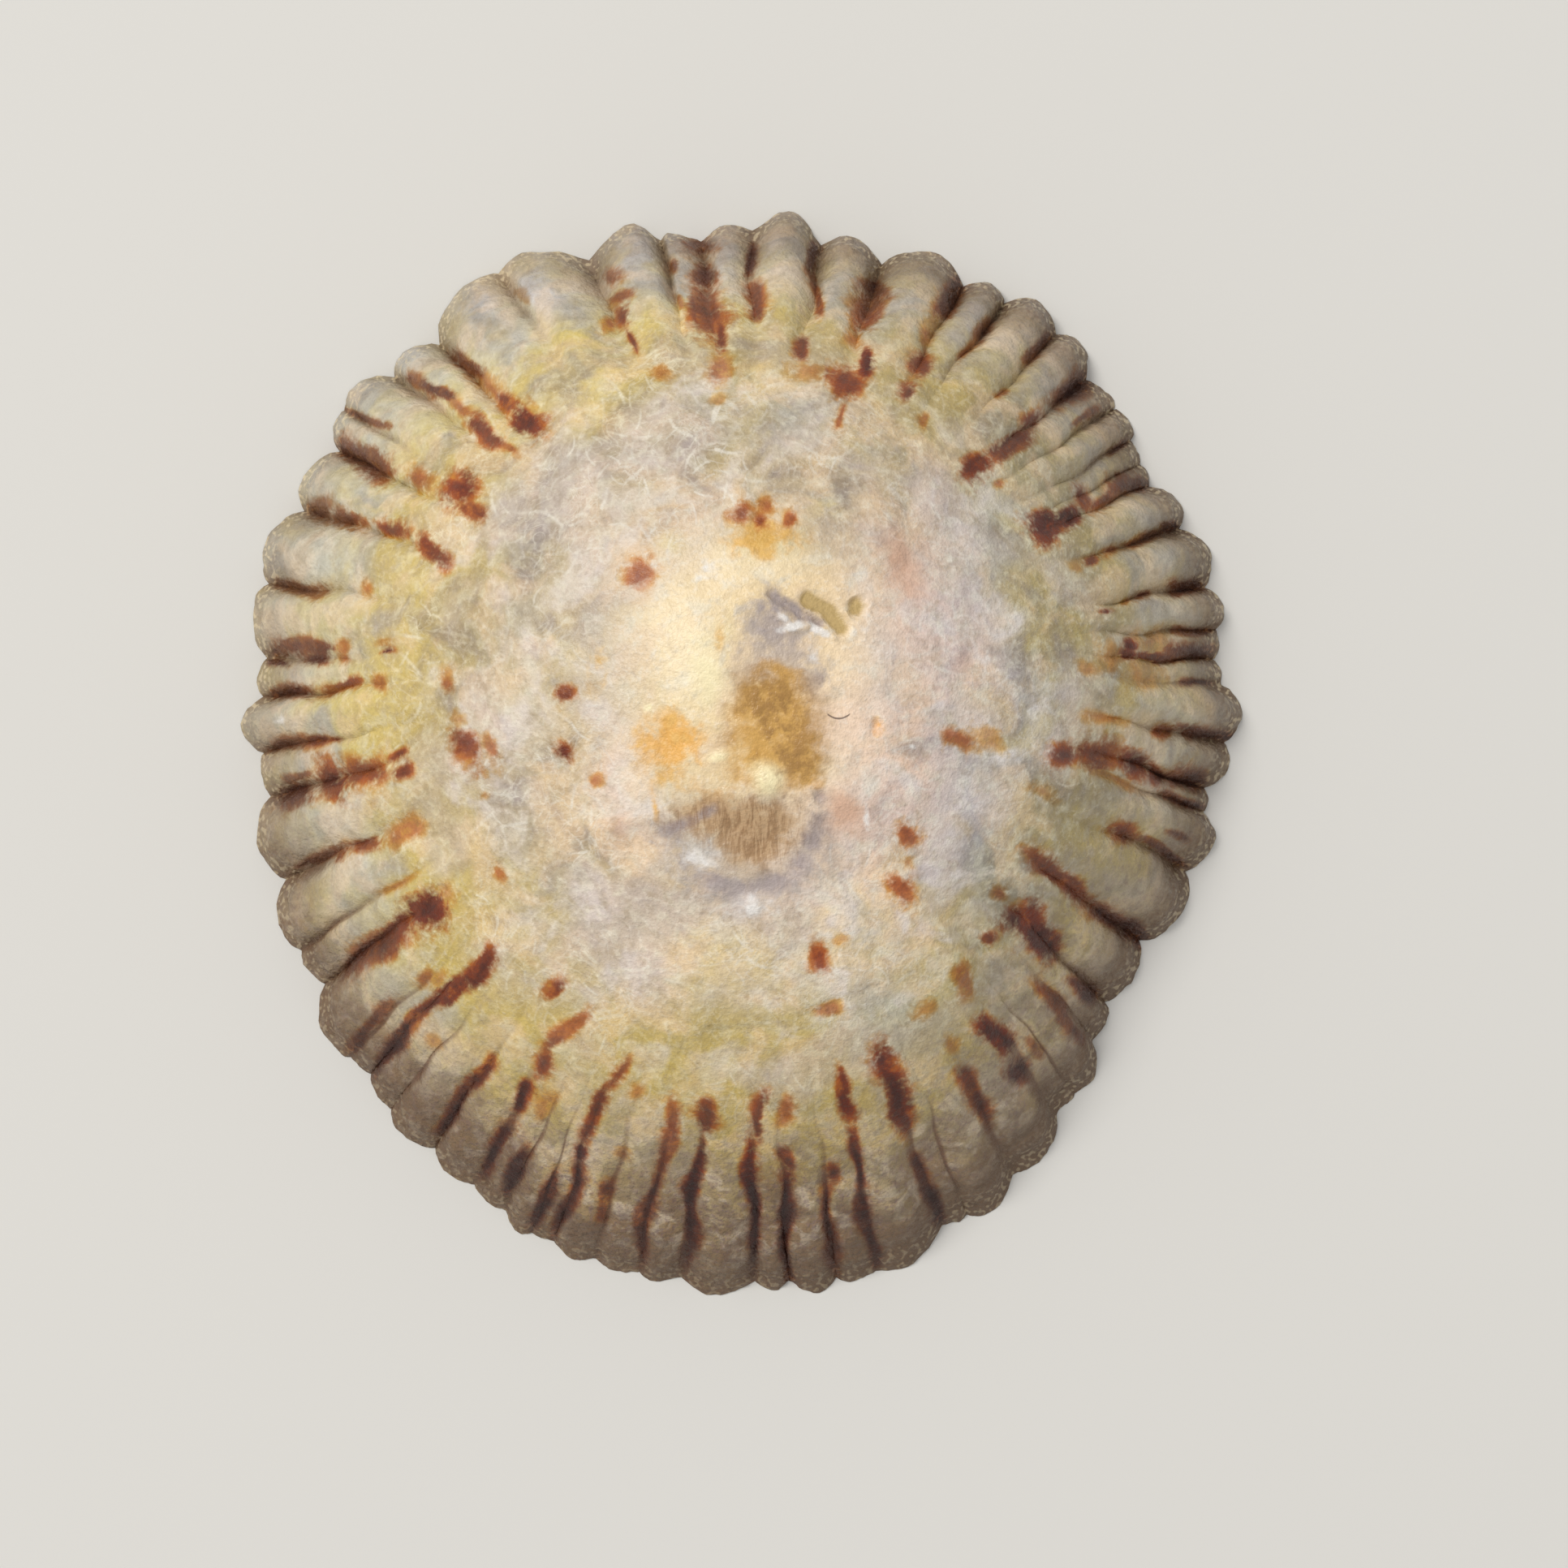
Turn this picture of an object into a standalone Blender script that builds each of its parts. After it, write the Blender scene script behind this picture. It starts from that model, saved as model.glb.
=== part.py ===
"""An empty limpet shell: one grown piece, a low ribbed cone outside and hollow underneath.

Metres, +Z up. The rim lies flat in the plane z = 0, +Y is the front end, which the apex is nearest to,
and the origin is in the rim plane, under the middle of the outline.

A limpet grows by adding lime to its rim, so every earlier rim is the last one shrunk toward the apex.
The solid is made the same way: the wall's section is turned into a plain dish with a few steps for each
rib, and each ring of the dish is then spread out from the apex to the ribbed outline of the real rim.
"""
import math

import bpy
from mathutils import Vector

MM = 0.001

NODE = "limpet_shell"

# Height and wall
HEIGHT = 8.0 * MM
FLANK_POWER = 2.1       # the curve of the flanks: 1 is a straight cone, 2 a round dome
APEX_WALL = 1.2 * MM    # thickness straight down through the apex
RIM_INNER = 0.93        # where the flat under the rim ends, as a part of the way out from the apex

# The ribs, in order round the rim, each beginning at a groove:
# the groove's angle and distance from the apex, then the rib tip's.
# Degrees from +X towards +Y, and millimetres, seen from above.
RIBS = (
    (2.6, 10.22, 5.0, 10.46), (8.0, 10.08, 12.0, 10.33), (16.0, 9.79, 18.5, 9.99),
    (22.6, 9.47, 24.2, 9.54), (25.8, 9.49, 27.5, 9.58), (29.2, 9.54, 31.5, 9.77),
    (33.9, 9.56, 35.5, 9.68), (39.2, 9.50, 43.7, 9.95), (46.4, 9.70, 50.3, 9.99),
    (54.3, 9.47, 56.8, 9.70), (60.2, 9.32, 65.5, 9.67), (71.8, 9.00, 77.0, 9.40),
    (80.7, 9.11, 85.6, 9.76), (90.3, 9.29, 94.0, 9.47), (97.5, 9.14, 101.8, 9.47),
    (102.9, 9.34, 106.2, 9.86), (113.0, 9.41, 121.5, 10.21), (124.2, 10.10, 128.6, 10.35),
    (135.9, 9.74, 140.3, 10.22), (142.8, 10.04, 147.3, 10.67), (149.7, 10.55, 151.2, 10.60),
    (154.4, 10.21, 159.5, 10.75), (162.8, 10.46, 168.2, 11.12), (172.2, 10.87, 175.2, 11.18),
    (180.9, 10.82, 183.4, 11.03), (185.4, 10.94, 188.5, 11.52), (191.8, 11.12, 194.0, 11.29),
    (196.8, 11.20, 201.8, 11.84), (206.0, 11.57, 211.3, 12.20), (213.5, 12.08, 215.0, 12.20),
    (217.8, 12.06, 223.0, 12.83), (225.2, 12.71, 226.5, 12.74), (227.8, 12.67, 230.5, 12.98),
    (231.6, 12.96, 234.0, 13.30), (237.3, 13.10, 239.7, 13.46), (242.3, 13.36, 245.0, 13.63),
    (246.0, 13.61, 248.0, 13.93), (249.0, 13.84, 250.1, 13.88), (251.2, 13.84, 253.5, 14.06),
    (255.3, 13.95, 257.5, 14.11), (259.5, 13.99, 260.8, 14.15), (263.3, 13.99, 266.5, 14.33),
    (270.0, 13.97, 272.0, 14.18), (273.1, 14.00, 275.5, 14.29), (277.4, 14.02, 278.6, 14.17),
    (281.0, 13.99, 283.3, 14.08), (288.0, 13.41, 289.6, 13.43), (290.6, 13.36, 292.3, 13.50),
    (296.2, 12.96, 298.5, 12.98), (303.0, 12.28, 304.8, 12.19), (305.8, 12.10, 307.5, 12.13),
    (310.8, 11.47, 312.2, 11.43), (314.9, 11.00, 318.5, 11.11), (323.0, 10.69, 328.3, 11.11),
    (332.8, 10.75, 337.5, 11.02), (340.2, 10.55, 341.2, 10.60), (343.0, 10.42, 346.6, 10.80),
    (348.9, 10.60, 352.4, 10.89), (355.8, 10.39, 357.0, 10.35), (358.9, 10.13, 360.9, 10.30),
)
RIB_ROUNDNESS = 0.7     # below 1 the ribs are broad and the grooves narrow
RIBS_START = 0.2        # the ribs rise between these two parts of the way out from the apex
RIBS_FULL = 0.9
INNER_RIBS = 0.45       # how much of the ribs shows on the inner side of the wall
OUTLINE_SPAN = 8        # meridians to each side that make the smooth outline under the ribs

# Facets
STEPS_PER_RIB = 4
OUTER_RINGS = 12
INNER_RINGS = 7
MERIDIANS = STEPS_PER_RIB * len(RIBS)

DISH_RADIUS = 12.0 * MM  # of the plain turned dish, before it is spread to the outline


def outer_height(out):
    """Height of the outer side at a part of the way out from the apex."""
    return HEIGHT * (1.0 - out ** FLANK_POWER)


def wall(out):
    """Thickness of the wall, straight down, which leaves the inner side at z = 0 at the rim flat."""
    along = out / RIM_INNER
    return APEX_WALL + (outer_height(RIM_INNER) - APEX_WALL) * along


def smooth_step(start, end, value):
    t = min(max((value - start) / (end - start), 0.0), 1.0)
    return t * t * (3.0 - 2.0 * t)


def rim_point(meridian):
    """Angle and distance from the apex where a meridian meets the rim, over the ribs and grooves."""
    rib, step = divmod(meridian, STEPS_PER_RIB)
    groove_angle, groove_reach, tip_angle, tip_reach = RIBS[rib]
    climb = 2.0 * step / STEPS_PER_RIB
    if climb > 1.0:
        turns, after = divmod(rib + 1, len(RIBS))
        groove_angle, groove_reach = RIBS[after][0] + 360.0 * turns, RIBS[after][1]
        climb = 2.0 - climb
    angle = groove_angle + (tip_angle - groove_angle) * climb
    rise = math.sin(math.pi / 2.0 * climb) ** RIB_ROUNDNESS
    return math.radians(angle), (groove_reach + (tip_reach - groove_reach) * rise) * MM


RIM = [rim_point(meridian) for meridian in range(MERIDIANS)]


def smooth_reach(meridian):
    """The rim's distance from the apex with the ribs evened out."""
    span = range(meridian - OUTLINE_SPAN, meridian + OUTLINE_SPAN + 1)
    return sum(RIM[i % MERIDIANS][1] for i in span) / len(span)


SMOOTH = [smooth_reach(meridian) for meridian in range(MERIDIANS)]


def turned_dish():
    """The wall's section, turned round Z as a plain dish with the same few steps for each rib."""
    outer = [ring / OUTER_RINGS for ring in range(OUTER_RINGS + 1)]
    inner = [RIM_INNER * (1.0 - ring / INNER_RINGS) for ring in range(INNER_RINGS + 1)]
    section = [(out * DISH_RADIUS, 0.0, outer_height(out)) for out in outer]
    section += [(out * DISH_RADIUS, 0.0, outer_height(out) - wall(out)) for out in inner]
    profile = bpy.data.meshes.new("wall section")
    profile.from_pydata(section, [(i, i + 1) for i in range(len(section) - 1)], [])
    dish = bpy.data.objects.new("turned dish", profile)
    bpy.context.scene.collection.objects.link(dish)
    turn = dish.modifiers.new("turn", "SCREW")
    turn.axis = "Z"
    turn.angle = math.tau
    turn.steps = turn.render_steps = MERIDIANS
    turn.use_merge_vertices = True
    turn.merge_threshold = 0.00001
    bpy.context.view_layer.update()
    mesh = bpy.data.meshes.new_from_object(dish.evaluated_get(bpy.context.evaluated_depsgraph_get()))
    bpy.data.objects.remove(dish)
    bpy.data.meshes.remove(profile)
    return mesh


def grown(point):
    """The place on the ribbed shell, counted from the apex, of a point of the turned dish."""
    out = min(math.hypot(point.x, point.y) / DISH_RADIUS, 1.0)
    meridian = round(math.atan2(point.y, point.x) / math.tau * MERIDIANS) % MERIDIANS
    angle, reach = RIM[meridian]
    depth = min(max((outer_height(out) - point.z) / wall(out), 0.0), 1.0)
    ribbed = smooth_step(RIBS_START, RIBS_FULL, out) * (1.0 + (INNER_RIBS - 1.0) * depth)
    spread = out * (SMOOTH[meridian] + (reach - SMOOTH[meridian]) * ribbed)
    return Vector((spread * math.cos(angle), spread * math.sin(angle), point.z))


def middle_of(mesh):
    """The middle of the outline, in the rim plane."""
    xs = [vertex.co.x for vertex in mesh.vertices]
    ys = [vertex.co.y for vertex in mesh.vertices]
    return Vector(((min(xs) + max(xs)) / 2.0, (min(ys) + max(ys)) / 2.0, 0.0))


def shell_lime():
    """Weathered shell lime, pale and chalky, seen as one mean colour."""
    material = bpy.data.materials.new("weathered shell")
    material.use_nodes = True
    surface = material.node_tree.nodes["Principled BSDF"]
    surface.inputs["Base Color"].default_value = (0.50, 0.43, 0.34, 1.0)
    surface.inputs["Roughness"].default_value = 0.55
    surface.inputs["Metallic"].default_value = 0.0
    return material


def limpet_shell(collection):
    """The shell: the dish spread to the ribbed outline, standing on its rim round the origin."""
    mesh = turned_dish()
    mesh.name = NODE
    for vertex in mesh.vertices:
        vertex.co = grown(vertex.co)
    middle = middle_of(mesh)
    for vertex in mesh.vertices:
        vertex.co -= middle
    mesh.materials.append(shell_lime())
    mesh.shade_smooth()
    mesh.set_sharp_from_angle(angle=math.radians(50.0))
    shell = bpy.data.objects.new(NODE, mesh)
    collection.objects.link(shell)
    return shell


for old in list(bpy.data.objects):
    bpy.data.objects.remove(old)
parts = bpy.data.collections.new("Limpet shell")
bpy.context.scene.collection.children.link(parts)
limpet_shell(parts)
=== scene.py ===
import math

import bpy
import numpy as np
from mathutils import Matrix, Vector


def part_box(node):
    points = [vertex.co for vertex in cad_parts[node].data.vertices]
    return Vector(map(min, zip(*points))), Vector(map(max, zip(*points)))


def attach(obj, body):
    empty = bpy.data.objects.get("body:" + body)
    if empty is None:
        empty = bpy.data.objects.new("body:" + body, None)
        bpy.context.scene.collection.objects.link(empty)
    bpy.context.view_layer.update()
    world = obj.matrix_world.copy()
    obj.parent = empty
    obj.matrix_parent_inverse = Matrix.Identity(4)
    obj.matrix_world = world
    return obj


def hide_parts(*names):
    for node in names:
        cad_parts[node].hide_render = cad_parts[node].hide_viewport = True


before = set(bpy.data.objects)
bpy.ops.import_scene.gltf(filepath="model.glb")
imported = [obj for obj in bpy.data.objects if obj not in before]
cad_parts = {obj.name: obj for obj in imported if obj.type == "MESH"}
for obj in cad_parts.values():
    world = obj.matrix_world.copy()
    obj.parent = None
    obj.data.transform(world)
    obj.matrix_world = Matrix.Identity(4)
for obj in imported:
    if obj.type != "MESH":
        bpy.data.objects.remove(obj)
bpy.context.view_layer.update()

# The rim line of the shell.
# A limpet adds lime to its rim, so every rib ends there in a lobe with a notch on each side of it, and each
# earlier rim is this same line drawn in toward the apex. It is a guide only, and goes once the shell is made.
MM = 0.001
NODE = "limpet_shell"
# Each rib begins at a groove: its bearing and distance from the apex, then the rib tip's.
# Degrees from +X towards +Y, and millimetres, seen from above.
RIBS = (
    (2.6, 10.22, 5, 10.46), (8, 10.08, 12, 10.33), (16, 9.79, 18.5, 9.99), (22.6, 9.47, 24.2, 9.54),
    (25.8, 9.49, 27.5, 9.58), (29.2, 9.54, 31.5, 9.77), (33.9, 9.56, 35.5, 9.68), (39.2, 9.5, 43.7, 9.95),
    (46.4, 9.7, 50.3, 9.99), (54.3, 9.47, 56.8, 9.7), (60.2, 9.32, 65.5, 9.67), (71.8, 9, 77, 9.4),
    (80.7, 9.11, 85.6, 9.76), (90.3, 9.29, 94, 9.47), (97.5, 9.14, 101.8, 9.47), (102.9, 9.34, 106.2, 9.86),
    (113, 9.41, 121.5, 10.21), (124.2, 10.1, 128.6, 10.35), (135.9, 9.74, 140.3, 10.22),
    (142.8, 10.04, 147.3, 10.67), (149.7, 10.55, 151.2, 10.6), (154.4, 10.21, 159.5, 10.75),
    (162.8, 10.46, 168.2, 11.12), (172.2, 10.87, 175.2, 11.18), (180.9, 10.82, 183.4, 11.03),
    (185.4, 10.94, 188.5, 11.52), (191.8, 11.12, 194, 11.29), (196.8, 11.2, 201.8, 11.84),
    (206, 11.57, 211.3, 12.2), (213.5, 12.08, 215, 12.2), (217.8, 12.06, 223, 12.83), (225.2, 12.71, 226.5, 12.74),
    (227.8, 12.67, 230.5, 12.98), (231.6, 12.96, 234, 13.3), (237.3, 13.1, 239.7, 13.46),
    (242.3, 13.36, 245, 13.63), (246, 13.61, 248, 13.93), (249, 13.84, 250.1, 13.88), (251.2, 13.84, 253.5, 14.06),
    (255.3, 13.95, 257.5, 14.11), (259.5, 13.99, 260.8, 14.15), (263.3, 13.99, 266.5, 14.33),
    (270, 13.97, 272, 14.18), (273.1, 14, 275.5, 14.29), (277.4, 14.02, 278.6, 14.17), (281, 13.99, 283.3, 14.08),
    (288, 13.41, 289.6, 13.43), (290.6, 13.36, 292.3, 13.5), (296.2, 12.96, 298.5, 12.98),
    (303, 12.28, 304.8, 12.19), (305.8, 12.1, 307.5, 12.13), (310.8, 11.47, 312.2, 11.43),
    (314.9, 11, 318.5, 11.11), (323, 10.69, 328.3, 11.11), (332.8, 10.75, 337.5, 11.02),
    (340.2, 10.55, 341.2, 10.6), (343, 10.42, 346.6, 10.8), (348.9, 10.6, 352.4, 10.89), (355.8, 10.39, 357, 10.35),
    (358.9, 10.13, 360.9, 10.3),
)
# How round the ribs are, by bearing: below 1 they are broad, with narrow grooves between them
RIB_ROUNDNESS = ((0, 0.7), (70, 0.8), (85, 1.25), (115, 1.25), (130, 0.7), (235, 0.7), (255, 0.95), (285, 0.95),
                 (300, 0.7), (360, 0.7))
STEPS_PER_RIB = 16
MERIDIANS = STEPS_PER_RIB * len(RIBS)
OUTLINE_SPAN = 2 * STEPS_PER_RIB   # two ribs to each side even out the outline


def placed(name, data):
    """A new object in the scene."""
    made = bpy.data.objects.new(name, data)
    bpy.context.scene.collection.objects.link(made)
    return made


def rim_point(meridian):
    """Bearing and reach of the rim at a meridian, how far it is from groove to tip, and its rib's width."""
    rib, step = divmod(meridian, STEPS_PER_RIB)
    groove_bearing, groove_reach, tip_bearing, tip_reach = RIBS[rib]
    turns, after = divmod(rib + 1, len(RIBS))
    next_bearing, next_reach = RIBS[after][0] + 360.0 * turns, RIBS[after][1]
    width = math.radians(next_bearing - groove_bearing) * tip_reach
    climb = 2.0 * step / STEPS_PER_RIB
    if climb > 1.0:
        groove_bearing, groove_reach, climb = next_bearing, next_reach, 2.0 - climb
    bearing = math.radians(groove_bearing + (tip_bearing - groove_bearing) * climb)
    rise = math.sin(math.pi / 2.0 * climb) ** np.interp(tip_bearing % 360.0, *zip(*RIB_ROUNDNESS))
    return bearing, (groove_reach + (tip_reach - groove_reach) * rise) * MM, climb, width


rim = [rim_point(meridian) for meridian in range(MERIDIANS)]
rim_reach = np.array([reach for _, reach, _, _ in rim])
window = range(-OUTLINE_SPAN, OUTLINE_SPAN + 1)
smooth_reach = sum(np.roll(rim_reach, shift) for shift in window) / len(window)
line = bpy.data.meshes.new("rim line")
line.from_pydata([(reach * math.cos(b), reach * math.sin(b), 0.0) for b, reach, _, _ in rim], [], [])
for name, values in (("smooth_reach", smooth_reach), ("climb", [c for _, _, c, _ in rim]),
                     ("rib_width", [w for _, _, _, w in rim])):
    line.attributes.new(name, "FLOAT", "POINT").data.foreach_set("value", values)
rim_line = placed("rim line", line)

# The body of the shell, one grown piece of shell lime about 1 mm thick.
# Rings of growth run round it, and ribs run down it, broad and rounded with narrow grooves between them.
# It is laid out as a grid of rings and meridians, outer side, rim and inner side in one, and closed at the seams.
MOST_HALVINGS = 4.0    # how often the meridians run together by twos on the way to the apex
ON_OUTER_SIDE = 0.0001    # a point's depth in the wall, below which it lies on the outer side
GROWTH_LINES = 34.0    # raised rings of growth between the apex and the rim
RIB_MEAN = 0.7         # the part of a rib's height that its relief leaves where it is
BROADEST = 1.25        # broad ribs stand higher, up to this many times the relief
BACK_FROM, BACK_TO = -5.0, -9.0    # mm from the apex, between which the ribs grow lower toward the back end


def tint(red, green, blue):
    """A colour for a socket, from 0-255 values as a screen shows it."""
    linear = [c / 255.0 / 12.92 if c <= 10.3 else ((c / 255.0 + 0.055) / 1.055) ** 2.4 for c in (red, green, blue)]
    return (*linear, 1.0)


class Flow:
    """A socket of a node tree: Python's operators on it add Math nodes, and node() adds any other."""

    def __init__(self, tree, socket=None):
        self.tree, self.socket = tree, socket

    def node(self, kind, settings=None, inputs=None, out=0):
        made = self.tree.nodes.new(kind)
        for name, value in (settings or {}).items():
            if name == "stops":
                ramp = made.color_ramp
                while len(ramp.elements) < len(value):
                    ramp.elements.new(1.0)
                for element, (position, colour) in zip(ramp.elements, value):
                    element.position, element.color = position, tint(*colour)
            else:
                setattr(made, name, value)
        for key, value in (inputs or {}).items():
            if isinstance(value, Flow):
                self.tree.links.new(value.socket, made.inputs[key])
            else:
                made.inputs[key].default_value = value
        return Flow(self.tree, made.outputs[out])

    def math(self, operation, *others, first=None):
        terms = (self,) + others if first is None else (first, self)
        return self.node("ShaderNodeMath", {"operation": operation}, dict(enumerate(terms)))

    def clamped(self):
        return self.node("ShaderNodeClamp", inputs={0: self})

    def rise(self, start, end):
        """0 at start and 1 at end, with a soft step between them; start may be the higher one."""
        return self.node("ShaderNodeMapRange", {"interpolation_type": "SMOOTHSTEP"},
                         {0: self, 1: start, 2: end})

    def vector(self, operation, *others, out=0):
        return self.node("ShaderNodeVectorMath", {"operation": operation}, dict(enumerate((self,) + others)), out)

    def times(self, scale):
        """This vector or colour, made longer or brighter by a number."""
        return self.node("ShaderNodeVectorMath", {"operation": "SCALE"}, {0: self, "Scale": scale})

    def part(self, axis):
        """One of the three numbers in this vector or colour."""
        return self.node("ShaderNodeSeparateXYZ", inputs={0: self}, out=axis)

    def other(self, out):
        """Another output of the node that this socket is on."""
        return Flow(self.tree, self.socket.node.outputs[out])

    def noise(self, size, detail=2.0, roughness=0.5, distortion=0.0, shift=0.0):
        """Noise from 0 to 1 on this vector, with lumps of about the given size in its units."""
        moved = self.vector("ADD", (shift, shift * 0.7, shift * 1.3)) if shift else self
        return self.node("ShaderNodeTexNoise", {"normalize": True},
                         {"Vector": moved, "Scale": 1.0 / size, "Detail": detail, "Roughness": roughness,
                          "Distortion": distortion})

    def mix(self, under, over, blend="MIX"):
        """This factor of one colour over another; each is a socket, or three 0-255 values for tint()."""
        under, over = (colour if isinstance(colour, Flow) else tint(*colour) for colour in (under, over))
        return self.node("ShaderNodeMix", {"data_type": "RGBA", "blend_type": blend, "clamp_factor": True},
                         {0: self, 6: under, 7: over}, 2)


for name, operation in (("add", "ADD"), ("sub", "SUBTRACT"), ("mul", "MULTIPLY"), ("truediv", "DIVIDE"),
                        ("pow", "POWER")):
    setattr(Flow, f"__{name}__", lambda left, right, operation=operation: left.math(operation, right))
    setattr(Flow, f"__r{name}__", lambda right, left, operation=operation: right.math(operation, first=left))


def shell_tree(settings):
    """The tree that lays the shell out round the apex, and the identifiers of its inputs, one for each setting."""
    tree = bpy.data.node_groups.new("ribbed shell", "GeometryNodeTree")
    tree.interface.new_socket("Geometry", in_out="OUTPUT", socket_type="NodeSocketGeometry")
    kinds = {name: "NodeSocket" + type(value).__name__.capitalize() for name, value in settings.items()}
    identifiers = {name: tree.interface.new_socket(name, in_out="INPUT", socket_type=kind).identifier
                   for name, kind in kinds.items()}
    entry = tree.nodes.new("NodeGroupInput")
    given = {name: Flow(tree, entry.outputs[name]) for name in settings}
    flow = Flow(tree)
    meridians, outer_rings, flat_rings = given["Meridians"], given["Outer Rings"], given["Rim Rings"]
    height, rim_inner = given["Height"], given["Rim Inner"]

    # Where each point of the grid is: its ring, and how far out from the apex that is
    columns = meridians + 1.0
    index = flow.node("GeometryNodeInputIndex")
    ring = (index / columns).math("FLOOR")
    column = index - ring * columns
    past_edge = (ring - outer_rings).math("GREATER_THAN", 0.5)
    inner_ring = ring - outer_rings - flat_rings
    out = ((ring / outer_rings).math("MINIMUM", 1.0)
           - (1.0 - rim_inner) * ((ring - outer_rings) / flat_rings).clamped()
           - rim_inner * (inner_ring / given["Inner Rings"]).clamped())
    outside_height = height * (1.0 - out ** given["Flank Power"])
    edge_height = height * (1.0 - rim_inner ** given["Flank Power"])
    wall = given["Apex Wall"] + (edge_height - given["Apex Wall"]) * out / rim_inner
    depth = past_edge * (outside_height / wall).math("MINIMUM", 1.0)

    # Meridians run together by twos toward the apex, where the rings are short
    halvings = (0.0 - out.math("MAXIMUM", 0.001).math("LOGARITHM", 2.0)).math("FLOOR")
    halvings = halvings.math("MINIMUM", MOST_HALVINGS).math("MAXIMUM", inner_ring.math("GREATER_THAN", -0.5))
    together = (2.0 ** halvings).math("ROUND")
    meridian = ((column / together).math("FLOOR") * together).math("MODULO", meridians)

    rim_mesh = flow.node("GeometryNodeObjectInfo", inputs={"Object": given["Rim Line"]}, out=4)

    def at_rim(kind, value):
        return flow.node("GeometryNodeSampleIndex", {"data_type": kind, "domain": "POINT"},
                         {"Geometry": rim_mesh, "Value": value, "Index": meridian})

    def named(name):
        return flow.node("GeometryNodeInputNamedAttribute", {"data_type": "FLOAT"}, {"Name": name})

    rim_place = at_rim("FLOAT_VECTOR", flow.node("GeometryNodeInputPosition"))
    reach = rim_place.vector("LENGTH", out=1)
    even_reach = at_rim("FLOAT", named("smooth_reach"))
    ribbed = out.rise(given["Ribs Start"], given["Ribs Full"]) * (1.0 + (given["Inner Ribs"] - 1.0) * depth)
    spread = out * (even_reach + (reach - even_reach) * ribbed)
    flat_place = rim_place.times(spread / reach)
    up = flow.node("ShaderNodeCombineXYZ", inputs={2: outside_height - depth * wall})

    grid = flow.node("GeometryNodeMeshGrid", inputs={
        "Size X": 1.0, "Size Y": 1.0, "Vertices Y": columns,
        "Vertices X": outer_rings + flat_rings + given["Inner Rings"] + 1.0})
    for name, value in (("out", out), ("depth", depth), ("climb", at_rim("FLOAT", named("climb"))),
                        ("rib_width", at_rim("FLOAT", named("rib_width")))):
        grid = flow.node("GeometryNodeStoreNamedAttribute", {"data_type": "FLOAT", "domain": "POINT"},
                         {"Geometry": grid, "Name": name, "Value": value})
    laid = flow.node("GeometryNodeSetPosition", inputs={"Geometry": grid, "Position": flat_place.vector("ADD", up)})
    closed = flow.node("GeometryNodeMergeByDistance", inputs={"Geometry": laid, "Distance": given["Merge"]})

    # Relief on the outer side, along its normals: ribs, growth rings near the rim, and worn lumps
    out, depth, climb = named("out"), named("depth"), named("climb")
    outer_side = 1.0 - depth.math("GREATER_THAN", ON_OUTER_SIDE)
    in_mm = flow.node("GeometryNodeInputPosition").times(1.0 / MM)
    crest = (climb * (math.pi / 2.0)).math("SINE") ** 0.75
    flatter = 1.0 - 0.95 * in_mm.part(1).rise(BACK_FROM, BACK_TO)
    uneven = in_mm.noise(1.6, 2.0, shift=7.0)
    broad = (named("rib_width") * 0.9).math("MINIMUM", BROADEST)
    rib = (crest - RIB_MEAN) * broad * out.rise(0.64, 0.98) * (0.3 + 1.4 * uneven) * flatter
    rings = (out * GROWTH_LINES + 1.6 * in_mm.noise(1.1, 1.0, shift=3.0)).math("FRACT")
    lamella = rings.rise(0.0, 0.8) * rings.rise(1.0, 0.85) * out.rise(0.72, 0.97)
    lump = (in_mm.noise(1.5, 3.0, 0.55, shift=11.0) - 0.5) + (in_mm.noise(0.4, 3.0, 0.6, shift=5.0) - 0.5) * 0.4
    relief = given["Rib Relief"] * rib + given["Lamella Relief"] * lamella + given["Lump Relief"] * lump
    ragged = given["Rim Ragged"] * (in_mm.noise(0.22, 2.0, 0.6, shift=17.0)
                                    + 1.6 * in_mm.noise(0.75, 2.0, shift=23.0) - 1.3)
    relief = outer_side * (relief * out.rise(1.0, 0.975) + ragged * out.rise(0.95, 1.0))
    offset = flow.node("GeometryNodeInputNormal").times(relief)
    worn = flow.node("GeometryNodeSetPosition", inputs={"Geometry": closed, "Offset": offset})
    whole = flow.node("GeometryNodeRealizeInstances", inputs={"Geometry": worn})
    inside = flow.node("GeometryNodeSetMaterial", inputs={"Geometry": whole, "Material": given["Inside"]})
    both = flow.node("GeometryNodeSetMaterial", inputs={
        "Geometry": inside, "Material": given["Outside"], "Selection": depth.math("LESS_THAN", ON_OUTER_SIDE)})
    leave = tree.nodes.new("NodeGroupOutput")
    tree.links.new(both.socket, leave.inputs[0])
    return tree, identifiers


outside = bpy.data.materials.new("weathered shell, outer side")
inside = bpy.data.materials.new("porcelain shell, inner side")
SETTINGS = {
    "Rim Line": rim_line, "Meridians": MERIDIANS, "Outer Rings": 130, "Rim Rings": 2, "Inner Rings": 16,
    "Height": 8.0 * MM, "Flank Power": 2.1, "Apex Wall": 1.2 * MM, "Rim Inner": 0.93,
    "Ribs Start": 0.52, "Ribs Full": 1.0, "Inner Ribs": 0.45, "Rib Relief": 0.135 * MM,
    "Lamella Relief": 0.04 * MM, "Lump Relief": 0.22 * MM, "Rim Ragged": 0.12 * MM, "Merge": 0.0001 * MM,
    "Outside": outside, "Inside": inside,
}
tree, identifiers = shell_tree(SETTINGS)
seed_object = placed("shell layout", bpy.data.meshes.new("shell layout"))
layout = seed_object.modifiers.new("ribbed shell", "NODES")
layout.node_group = tree
for name, value in SETTINGS.items():
    layout[identifiers[name]] = value
bpy.context.view_layer.update()
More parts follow.
